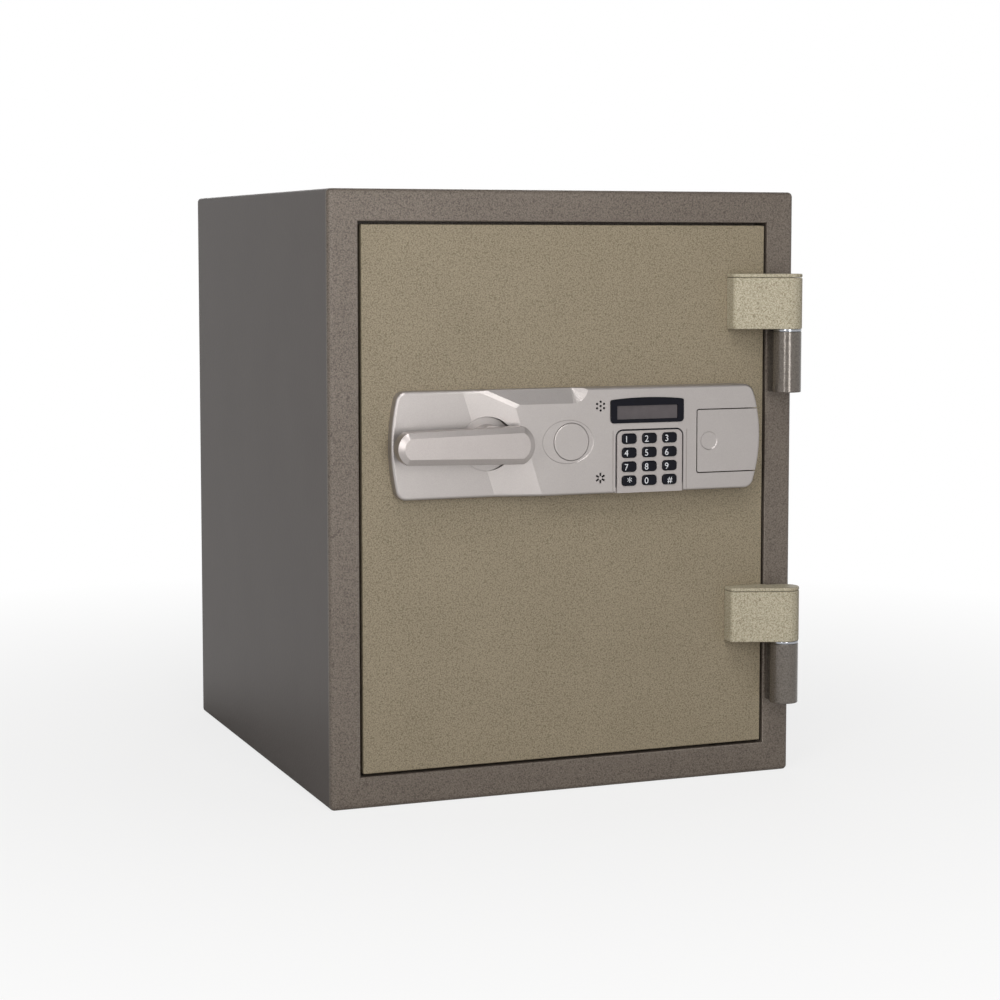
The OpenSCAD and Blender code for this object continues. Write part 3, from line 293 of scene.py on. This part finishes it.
# Zinc plating: bright grey with a soft crystal drift.
zinc_plating, spot, shader = material("zinc_plating")
crystal = add(zinc_plating, "TexVoronoi", {"Scale": 1000 / 6}, {"Vector": spot}, feature="F1")
fine = add(zinc_plating, "TexNoise", {"Scale": 1000 / 0.8, "Detail": 4.0}, {"Vector": spot})
zinc_grey = blend_colour(zinc_plating, "#9da0a2", "#b9bcbe", crystal.outputs["Color"])
finish_shader(zinc_plating, shader, zinc_grey, fine.outputs[0], 0.05, roughness=0.34, metallic=1.0)
for part in ("shelf_brackets", "anchor_sleeves", "bolt_keepers", "lock_plate", "crank", "bolt_bar",
             "cover_screws", "guide_studs"):
    dress(part, zinc_plating)


def fine_finish(name, low, high, grain, detail, depth, **numbers):
    """A finish whose colour and relief follow one noise, both sized in millimetres."""
    made, spot, shader = material(name)
    noise = add(made, "TexNoise", {"Scale": 1000 / grain, "Detail": detail}, {"Vector": spot})
    return finish_shader(made, shader, blend_colour(made, low, high, noise.outputs[0]),
                         noise.outputs[0], depth, **numbers)


# Ground steel of the bolts, pins and shafts: bright, its grinding lines drawn as a fine haze.
ground_steel = fine_finish("ground_steel", "#b0b2b4", "#cfd1d3", 0.9, 5.0, 0.03, roughness=0.22,
                           metallic=1.0)
for part in ("hinge_pins", "hinge_side_bolts", "lock_bolts", "plunger", "handle_spindle", "key_plug"):
    dress(part, ground_steel)

# Cast fire fill of gypsum and cement: chalky and pale, with pores of 1 to 3 mm.
fire_fill, spot, shader = material("cast_fire_fill")
pores = add(fire_fill, "TexVoronoi", {"Scale": 1000 / 3}, {"Vector": spot}, feature="F1")
sand = add(fire_fill, "TexNoise", {"Scale": 1000 / 1.5, "Detail": 5.0}, {"Vector": spot})
finish_shader(fire_fill, shader, blend_colour(fire_fill, "#c9c4b2", "#dcd8cb", sand.outputs[0]),
              pores.outputs["Distance"], 0.5, roughness=0.9)
for part in ("body_insulation", "door_insulation"):
    dress(part, fire_fill)

# Extruded seal of swelling rubber: black and matt, with a fine grain.
seal_rubber = fine_finish("seal_rubber", "#17181a", "#242527", 0.8, 3.0, 0.1, roughness=0.75)
dress("door_seal", seal_rubber)


# Door skin
# A steel pan of 2 mm, folded on four sides and open at the back, with narrow bends round its
# face. It fills the door's opening but for a dark gap.

# Hammertone powder coat in olive: finer and more matt than the frame's.
door_paint = hammertone("door_hammertone", "#6b614d", "#9f937d", 1.05, 0.48, 0.28, 0.0, 0.3)
door_w, door_h, pan_deep, pan_sheet = 359.6, 443.2, 20, 2
bm = bmesh.new()
bmesh.ops.create_cube(bm, size=1, matrix=Matrix.Translation((0, pan_deep / 2, body_h / 2))
                      @ Matrix.Diagonal((door_w, pan_deep, door_h, 1)))
bmesh.ops.delete(bm, geom=[f for f in bm.faces if f.normal.y > 0.9], context="FACES_ONLY")
round_edges(bm, sharp_edges(bm), gap_bend, 3)
bmesh.ops.recalc_face_normals(bm, faces=bm.faces)
bmesh.ops.solidify(bm, geom=bm.faces, thickness=pan_sheet)
make_piece("door_skin_pan", bm, door_paint, "door", "door_skin")


# Hinges
# Two cast blocks bolted to the door turn on pins in barrels that are welded to the frame,
# with a chromed washer between. A thin plate caps each block.
def node_piece(name, node, finish, body, radius, segments, angle=30):
    """A CAD node's own form with its sharp edges rounded."""
    bm = node_copy(node)
    round_edges(bm, sharp_edges(bm, angle=angle), radius, segments)
    make_piece(name, bm, finish, body, node)


# Hammertone on the blocks: paler and deeper than the door's. On the barrels: dark, glossy and
# nearly smooth, so that they mirror the upright lights as soft stripes.
block_paint = hammertone("block_hammertone", "#8a806a", "#ccc4ae", 1.1, 0.38, 0.4, 0.0, 0.04)
barrel_paint = hammertone("barrel_hammertone", "#57514b", "#756e67", 1.3, 0.16, 0.06, 0.35)
# Chromium plate on turned steel: a mirror with a faint haze.
chrome = fine_finish("chrome_plating", "#94969a", "#aeb0b4", 1.2, 4.0, 0.02, roughness=0.12, metallic=1.0)
cast_round, barrel_round, washer_round = 0.9, 0.7, 0.35
for side in ("upper", "lower"):
    node_piece(side + "_cast_block", side + "_hinge_block", block_paint, "door",
               cast_round, 3, 50)
    node_piece(side + "_barrel", side + "_frame_barrel", barrel_paint, "cabinet",
               barrel_round, 3)
node_piece("block_cap_plates", "hinge_block_caps", block_paint, "door", cast_round, 3)
node_piece("chrome_washers", "hinge_washers", chrome, "cabinet", washer_round, 2)


# Lock panel
# The housing is one moulding of ABS, 2.2 mm thick, that stands on the door's face: a deck, a
# slope down to the low floor round the handle, and a scoop in the upper edge.
def silver_abs(name, low, high, roughness, metallic=0.3):
    """Silver paint: metal flake, drawn at 0.5 mm and so coarser than it is, under a half matt lacquer."""
    made, spot, shader = material(name)
    flake = add(made, "TexVoronoi", {"Scale": 1000 / 0.5}, {"Vector": spot}, feature="F1")
    cloud = add(made, "TexNoise", {"Scale": 1000 / 25, "Detail": 2.0}, {"Vector": spot})
    tone = add(made, "Mix", {0: 0.4}, {2: flake.outputs["Color"], 3: cloud.outputs[0]})
    return finish_shader(made, shader, blend_colour(made, low, high, tone.outputs[0]),
                         flake.outputs["Distance"], 0.02, roughness=roughness, metallic=metallic)


# Silver paint on the panel: a soft grey sheen, a little warm.
silver_plastic = silver_abs("silver_painted_abs", "#a39d9a", "#b0aaa7", 0.36, 0.7)


def add_box(bm, x, y, z):
    """Adds a box between pairs of millimetres."""
    middle = Matrix.Translation(((x[0] + x[1]) / 2, (y[0] + y[1]) / 2, (z[0] + z[1]) / 2))
    size = Matrix.Diagonal((x[1] - x[0], y[1] - y[0], z[1] - z[0], 1))
    return bmesh.ops.create_cube(bm, size=1, matrix=middle @ size)["verts"]


def add_disc(bm, x, z, front_r, front, back, segments=64, back_r=None):
    """Adds a round bar, or a cone with a radius of its own at the back, from front to back."""
    place = Matrix.Translation((x, (front + back) / 2, z)) @ Matrix.Rotation(radians(90), 4, "X")
    if back_r is None:
        back_r = front_r
    return bmesh.ops.create_cone(bm, cap_ends=True, segments=segments, radius1=back_r, radius2=front_r,
                                 depth=back - front, matrix=place)["verts"]


def add_slab(bm, x, z, front, back, corner):
    """Adds a box with its four upright corners rounded."""
    verts = add_box(bm, x, (front, back), z)
    corners = [e for e in bm.edges if e.verts[0] in verts
               and abs(e.verts[0].co.x - e.verts[1].co.x) + abs(e.verts[0].co.z - e.verts[1].co.z) < 0.01]
    round_edges(bm, corners, corner, 5)


def only_verts(geom):
    """The vertices in a list of mesh elements."""
    return [v for v in geom if isinstance(v, bmesh.types.BMVert)]


def combine(bm, tool, operation="DIFFERENCE"):
    """Cuts one bmesh with another, or joins them, and returns the result."""
    things = []
    for form in (bm, tool):
        bmesh.ops.recalc_face_normals(form, faces=form.faces)
        bmesh.ops.triangulate(form, faces=form.faces)
        mesh = bpy.data.meshes.new("form")
        form.to_mesh(mesh)
        form.free()
        things.append(bpy.data.objects.new("form", mesh))
        bpy.context.scene.collection.objects.link(things[-1])
    cut = things[0].modifiers.new("cut", "BOOLEAN")
    cut.operation, cut.solver, cut.object = operation, "EXACT", things[1]
    result = bmesh.new()
    result.from_object(things[0], bpy.context.evaluated_depsgraph_get())
    for thing in things:
        mesh = thing.data
        bpy.data.objects.remove(thing)
        bpy.data.meshes.remove(mesh)
    bmesh.ops.remove_doubles(result, verts=result.verts, dist=1e-3)
    bmesh.ops.dissolve_limit(result, angle_limit=radians(0.3), verts=result.verts, edges=result.edges)
    return result


# The panel's outline and its faces, in front of the door's face where y is below 0. The slope
# lies between slope_foot and slope_top, counted from the lever's axis along slope_way.
panel_left, panel_right, panel_low, panel_top = -158, 168, 250.45, 338.35
left_bulge, right_bulge, panel_corner, panel_wall = 6, 8, 6.4, 2.2
deck_y, low_y = -18, -9
panel_z, lever_x, cap_x, keypad_x = 294.4, -77, -5.5, 65
lever_axis = Vector((lever_x, 0, panel_z))
slope_way = Vector((cos(radians(18)), 0, sin(radians(18))))
slope_foot, slope_top = -6.1, 30.2
# The scoop falls by scoop_fall over a height of scoop_run, from scoop_foot upwards.
scoop_left, scoop_right, scoop_foot, scoop_run, scoop_fall = -125, -4, 325.95, 12.4, 5.6


def panel_form(wall=0):
    """The panel's blank, shrunk by a wall: bulged ends, low floor, slope and deck."""
    bm = bmesh.new()
    half = (panel_top - panel_low) / 2
    ends = []
    for side, edge, bulge in ((-1, panel_left, left_bulge), (1, panel_right, right_bulge)):
        radius = (half * half + bulge * bulge) / (2 * bulge)
        centre = Vector((edge - side * radius, 0, panel_z))
        reach = radius - wall
        swing = asin((half - wall) / reach)
        start = bm.verts.new(centre + Vector((side * reach * cos(swing), 0, -reach * sin(swing))))
        arc = bmesh.ops.spin(bm, geom=[start], cent=centre, axis=(0, -side, 0), angle=2 * swing, steps=12)
        ends.append((start, only_verts(arc["geom_last"])[0]))
    for tail in range(2):
        bm.edges.new((ends[0][tail], ends[1][tail]))
    bmesh.ops.edgeloop_fill(bm, edges=bm.edges)
    bmesh.ops.bevel(bm, geom=[v for pair in ends for v in pair], offset=panel_corner - wall,
                    offset_type="OFFSET", segments=6, profile=0.5, affect="VERTICES", material=-1)
    top = bmesh.ops.extrude_face_region(bm, geom=bm.faces)["geom"]
    bmesh.ops.translate(bm, vec=(0, deck_y + wall, 0), verts=only_verts(top))
    for offset in (slope_foot + wall, slope_top + wall):
        bmesh.ops.bisect_plane(bm, geom=bm.verts[:] + bm.edges[:] + bm.faces[:], dist=1e-4,
                               plane_co=lever_axis + slope_way * offset, plane_no=slope_way)
    for vert in bm.verts:
        if vert.co.y < -1:
            along = (vert.co - lever_axis).dot(slope_way) - wall
            rise = min(max((along - slope_foot) / (slope_top - slope_foot), 0), 1)
            vert.co.y = low_y + (deck_y - low_y) * rise + wall
        elif wall:
            vert.co.y = 1
    bmesh.ops.recalc_face_normals(bm, faces=bm.faces)
    return bm


def scoop_form(shift=0):
    """The scoop's cutter: a wedge that gets deeper upwards and ends in a round cone."""
    wedge = bmesh.new()
    reach = 13.4
    deep = scoop_fall * reach / scoop_run
    above, upper = deck_y - 4, scoop_foot + reach
    profile = [wedge.verts.new((scoop_left, y, z)) for y, z in
               ((above, 324), (deck_y, scoop_foot), (deck_y + deep, upper), (above, upper))]
    wedge.faces.new(profile)
    tail = bmesh.ops.extrude_face_region(wedge, geom=wedge.faces)["geom"]
    bmesh.ops.translate(wedge, vec=(scoop_right - scoop_left, 0, 0), verts=only_verts(tail))
    cone = bmesh.new()
    add_disc(cone, scoop_right, upper, 1.3 * reach, deck_y - 0.3 * deep, deck_y + deep, 96, 0.0)
    form = combine(wedge, cone, "UNION")
    bmesh.ops.translate(form, vec=(0, shift, -shift), verts=form.verts)
    return form


bezel_left, bezel_right, bezel_low, arch_top, arch_r = 29.4, 95.8, 308.6, 329.3, 307.1


def bezel_form(gap, front, back):
    """The bezel's outline: straight sides, an arched upper edge and round corners."""
    bm = bmesh.new()
    add_slab(bm, (bezel_left - gap, bezel_right + gap), (bezel_low - gap, 336), front, back, 3 + gap)
    arch = bmesh.new()
    add_disc(arch, (bezel_left + bezel_right) / 2, arch_top - arch_r, arch_r + gap, front - 5, back + 5, 1200)
    bm = combine(bm, arch, "INTERSECT")
    corners = [e for e in sharp_edges(bm, lambda p: p.z > 325, 60)
               if abs(e.verts[0].co.y - e.verts[1].co.y) > 1]
    round_edges(bm, corners, 3.4 + gap, 5)
    return bm


# The blank gets a round rim and the scoop. Where slope and scoop would meet in one line, a
# flat band is cut between them, and the folds between the faces are eased.
rim_round, fold_round = 2.4, 0.35
bm = panel_form()
round_edges(bm, sharp_edges(bm, lambda p: p.y < -3, 58), rim_round, 6)
bm = combine(bm, scoop_form())
slope_drop = deck_y - low_y
slope_out = Vector((slope_drop * slope_way.x, slope_foot - slope_top, slope_drop * slope_way.z)).normalized()
scoop_out = Vector((0, -scoop_run, scoop_fall)).normalized()
meet_x = lever_x + (slope_top - (scoop_foot - panel_z) * slope_way.z) / slope_way.x
meeting = Vector((meet_x, deck_y, scoop_foot))
along = scoop_out.cross(slope_out).normalized()
band_out = (slope_out + scoop_out).normalized()
band_turn = Matrix((along, band_out, along.cross(band_out))).transposed().to_4x4()
band_place = Matrix.Translation(meeting - along * 12 + band_out * 4.45)
band = bmesh.new()
bmesh.ops.create_cube(band, size=1, matrix=band_place @ band_turn @ Matrix.Diagonal((60, 10, 14, 1)))
bm = combine(bm, band)
folds = [e for e in sharp_edges(bm, lambda p: -101 < p.x < 14 and 253.5 < p.z < 335.5 and p.y < -8.9, 9)
         if e.calc_length() > 4]
round_edges(bm, folds, fold_round, 2)

# Holes in the deck: for the rosette and the cap, a groove on each side of the keypad, seven
# round sound holes above and a flower of six slots below.
front_y = deck_y - 2
holes = bmesh.new()
add_disc(holes, lever_x, panel_z, 22.3, front_y, -8.6)
add_disc(holes, cap_x, panel_z, 15.75, front_y, -4)
for x in (keypad_x - 33.65, keypad_x + 33.65):
    add_box(holes, (x - 0.6, x + 0.6), (front_y, deck_y + 0.6), (249, 302))
sound_x, sound_z, slots_z, sound_r = 20.4, 323.15, 263.65, 1.05
for step in range(6):
    angle = radians(60 * step + 30)
    add_disc(holes, sound_x + 3.6 * cos(angle), sound_z + 3.6 * sin(angle), sound_r, front_y, -13, 16)
    slot = add_box(holes, (sound_x + 1.5, sound_x + 4.4), (front_y, -13), (slots_z - 0.8, slots_z + 0.8))
    bmesh.ops.rotate(holes, cent=(sound_x, 0, slots_z), matrix=Matrix.Rotation(angle, 3, "Y"), verts=slot)
add_disc(holes, sound_x, sound_z, sound_r, front_y, -13, 16)
bm = combine(bm, holes)

# An oval dish round the cap gives a finger room.
dish_x, dish_wide, dish_high = -8.4, 23, 18.2
dish = bmesh.new()
oval = add_disc(dish, 0, 0, 1.0525, -18.6, -17.6, 96, 0.965)
dish_place = Matrix.Translation((dish_x, 0, panel_z)) @ Matrix.Diagonal((dish_wide, 1, dish_high, 1))
bmesh.ops.transform(dish, matrix=dish_place, verts=oval)
bm = combine(bm, dish)

# Openings for the bezel, the keypad plate's step, the keys' well and the battery cover.
bm = combine(bm, bezel_form(0.3, deck_y - 4, -12))
openings = (((33.95, 96.05), (240, 303.4), -16.4, 6.3), ((36.35, 93.65), (254.7, 301), -13, 4),
            ((108.1, 180), (264.5, 318.5), 1, 2.2))
for across, up, back, corner in openings:
    opening = bmesh.new()
    add_slab(opening, across, up, deck_y - 4, back, corner)
    bm = combine(bm, opening)

# The moulding is hollow but for a boss behind the rosette, which the spindle's bush goes through.
hollow = combine(panel_form(panel_wall), scoop_form(panel_wall))
boss, bush_hole = bmesh.new(), bmesh.new()
add_disc(boss, lever_x, panel_z, 24.5, front_y, -6.85)
bm = combine(bm, combine(hollow, boss))
add_disc(bush_hole, lever_x, panel_z, 9.05, front_y, 3)
bm = combine(bm, bush_hole)
round_edges(bm, sharp_edges(bm, lambda p: p.y < -17.8 and (p.x > 105 or abs(p.x - keypad_x) < 30.4), 55),
            0.45, 3)
round_edges(bm, sharp_edges(bm, lambda p: p.y < -17.8 and abs(p.x - cap_x) < 16.5, 55), 0.3, 2)
round_edges(bm, sharp_edges(bm, lambda p: p.x < -50 and p.y < -8.9, 55), 0.3, 2)
make_piece("panel_moulding", bm, silver_plastic, "door", "panel_housing", 20)

# The round cap over the key lock stands 0.3 mm out of the deck and has a collar behind.
bm = bmesh.new()
add_disc(bm, cap_x, panel_z, 15.5, -18.3, -15.8)
round_edges(bm, sharp_edges(bm, lambda p: p.y < -18), 0.9, 4)
add_disc(bm, cap_x, panel_z, 13.9, -15.8, -13.6)
make_piece("round_cap", bm, silver_plastic, "key_cap", "key_cap")

# The battery cover slides off to the right; a shallow round dish marks where to push.
bm = panel_form()
keep = bmesh.new()
add_slab(keep, (109, 180), (265.4, 317.6), front_y, 1, 1.4)
bm = combine(bm, keep, "INTERSECT")
round_edges(bm, sharp_edges(bm, lambda p: p.y < -17.9 and p.x > 155, 60), rim_round, 6)
round_edges(bm, sharp_edges(bm, lambda p: p.y < -17.9 and p.x < 158, 60), 0.5, 3)
press = bmesh.new()
add_disc(press, 119.8, 291.6, 8.1, -18.1, -17.4, 64, 7.0)
bm = combine(bm, press)
bm = combine(bm, panel_form(1.8))
make_piece("sliding_cover", bm, silver_plastic, "battery_cover", "battery_cover", 20)

node_piece("rosette_disc", "handle_rosette", silver_plastic, "door", 0.3, 2)
# The lever is a zinc casting with the same silver coat.
lever_silver = silver_abs("lever_silver_coat", "#a39c99", "#b1aaa7", 0.35, 0.7)
node_piece("lever_casting", "handle_lever", lever_silver, "handle", 0.5, 2, 25)


# Keys and display
# Twelve black keys stand in a silver plate, and a black bezel frames a smoked window over the
# display. Keys, plate and bezel are ABS mouldings in recesses of the panel.

# Silver paint on the plate: the panel's colour, more matt and less metallic.
keypad_plastic = silver_abs("keypad_abs", "#a39c99", "#b1aaa7", 0.42)

# Polished black ABS: a deep black with soft, slightly waved highlights.
gloss_black = fine_finish("gloss_black_abs", "#08080f", "#10101b", 6, 2.0, 0.03, roughness=0.16,
                          specular_ior_level=0.15)


def join(bm, other):
    """Adds another bmesh's faces to the first, in the second material slot."""
    for face in other.faces:
        face.material_index = 1
    mesh = bpy.data.meshes.new("joined")
    other.to_mesh(mesh)
    other.free()
    bm.from_mesh(mesh)
    bpy.data.meshes.remove(mesh)


# A thin black sheet under the plate is painted shade: it shows in the gap round the plate and darkens it.
bm = node_copy("keypad_plate")
round_edges(bm, sharp_edges(bm, lambda p: p.y < -18.3, 50), 0.3, 2)
# The black sheet is painted shade for the gap, not a real part of the keypad.
gap_shade_sheet, gap_shade_sheet_hole = bmesh.new(), bmesh.new()
add_slab(gap_shade_sheet, (34.05, 95.95), (252, 303.3), -16.5, -16.4, 6.2)
add_slab(gap_shade_sheet_hole, (36.6, 93.4), (254.9, 300.8), -17, -16, 4)
join(bm, combine(gap_shade_sheet, gap_shade_sheet_hole))
keypad_frame = make_piece("keypad_frame", bm, keypad_plastic, "door", "keypad_plate", 65)
keypad_frame.data.materials.append(gloss_black)

# Screen-printed ink on the keys: white and matt.
white_ink = fine_finish("white_ink", "#d2d3d7", "#ecedf0", 0.6, 2.0, 0, roughness=0.5)


def add_words(bm, words, x, z, front, tall):
    """Adds a thin layer of ink in the shape of words, in the second material slot."""
    curve = bpy.data.curves.new("words", "FONT")
    curve.body, curve.size, curve.extrude = words, tall * 1.42, 0.02
    curve.resolution_u, curve.align_x = 3, "CENTER"
    written = bpy.data.objects.new("words", curve)
    mesh = bpy.data.meshes.new_from_object(written)
    ink = bmesh.new()
    ink.from_mesh(mesh)
    bmesh.ops.transform(ink, matrix=Matrix.Translation((x, front, z)) @ Matrix.Rotation(radians(90), 4, "X"),
                        verts=ink.verts)
    join(bm, ink)
    bpy.data.objects.remove(written)
    bpy.data.curves.remove(curve)
    bpy.data.meshes.remove(mesh)


# The digits stand left of each key's middle; the star and the hash stand on it.
key_columns, key_rows = [46.1, 64.5, 82.9], [295.5 - 11.65 * row for row in range(4)]
for number, mark in enumerate("123456789*0#"):
    node = "key_" + {"*": "star", "#": "hash"}.get(mark, mark)
    x, z = key_columns[number % 3], key_rows[number // 3]
    bm = node_copy(node)
    round_edges(bm, sharp_edges(bm, lambda p: p.y < -19.7, 50), 0.8, 3)
    tall, middle = (7.4, 0.6) if mark == "*" else (5.4, 0.52)
    add_words(bm, mark, x if mark in "*#" else x - 3.0, z - tall * middle, -19.81, tall)
    key = make_piece("pressing_" + node, bm, gloss_black, node, node)
    key.data.materials.append(white_ink)

bm = bezel_form(0, -19.2, -15.8)
window_hole = bmesh.new()
add_slab(window_hole, (34.9, 90.3), (311.4, 323.0), -25, -14, 0.8)
bm = combine(bm, window_hole)
round_edges(bm, sharp_edges(bm, lambda p: p.y < -19.1, 50), 0.9, 3)
make_piece("arched_bezel", bm, gloss_black, "door", "display_bezel", 65)

# Smoked acrylic over the display, drawn as a plain brown-grey: flat, with sharp reflections.
window_plastic = fine_finish("smoked_window", "#484243", "#595254", 9, 2.0, 0.02, roughness=0.12)
bm = bmesh.new()
add_slab(bm, (35.0, 90.2), (311.5, 322.9), -18.2, -17.2, 0.9)
round_edges(bm, sharp_edges(bm, lambda p: p.y < -18, 50), 0.15, 2)
make_piece("window_pane", bm, window_plastic, "door", "display_window")
for part in ("battery_tray", "buzzers"):
    dress(part, gloss_black)
dress("display_module", window_plastic)


# Hidden lock parts
# Behind the panel lie the circuit board, four cells and the lead to the solenoid. The
# cylinder of the key lock and the spindle's bush are turned brass.

# Solder mask on glass fibre: green and half glossy, with the tracks as a soft unevenness.
circuit_green = fine_finish("solder_mask", "#245a39", "#35784e", 3, 2.0, 0.03, roughness=0.35)
dress("circuit_board", circuit_green)

# Shrink sleeve on the cells: green and glossy.
cell_sleeve = fine_finish("cell_sleeve", "#4d6b33", "#688a47", 12, 2.0, 0.03, roughness=0.25)
dress("batteries", cell_sleeve)

# Turned brass: yellow metal with the cut's fine lines as a haze.
brass = fine_finish("turned_brass", "#b08f4b", "#cdaf6b", 0.9, 4.0, 0.03, roughness=0.25, metallic=1.0)
for part in ("lock_cylinder", "spindle_bush"):
    dress(part, brass)

# Tape wound round the solenoid's coil: dark blue and half matt.
coil_case = fine_finish("coil_case", "#33415f", "#455578", 2, 3.0, 0.06, roughness=0.4)
dress("solenoid", coil_case)

# PVC sheath of the lead: black and half matt.
cable_sheath = fine_finish("cable_sheath", "#1c1c1d", "#2a2a2b", 1.5, 2.0, 0.05, roughness=0.5)
dress("lock_cable", cable_sheath)
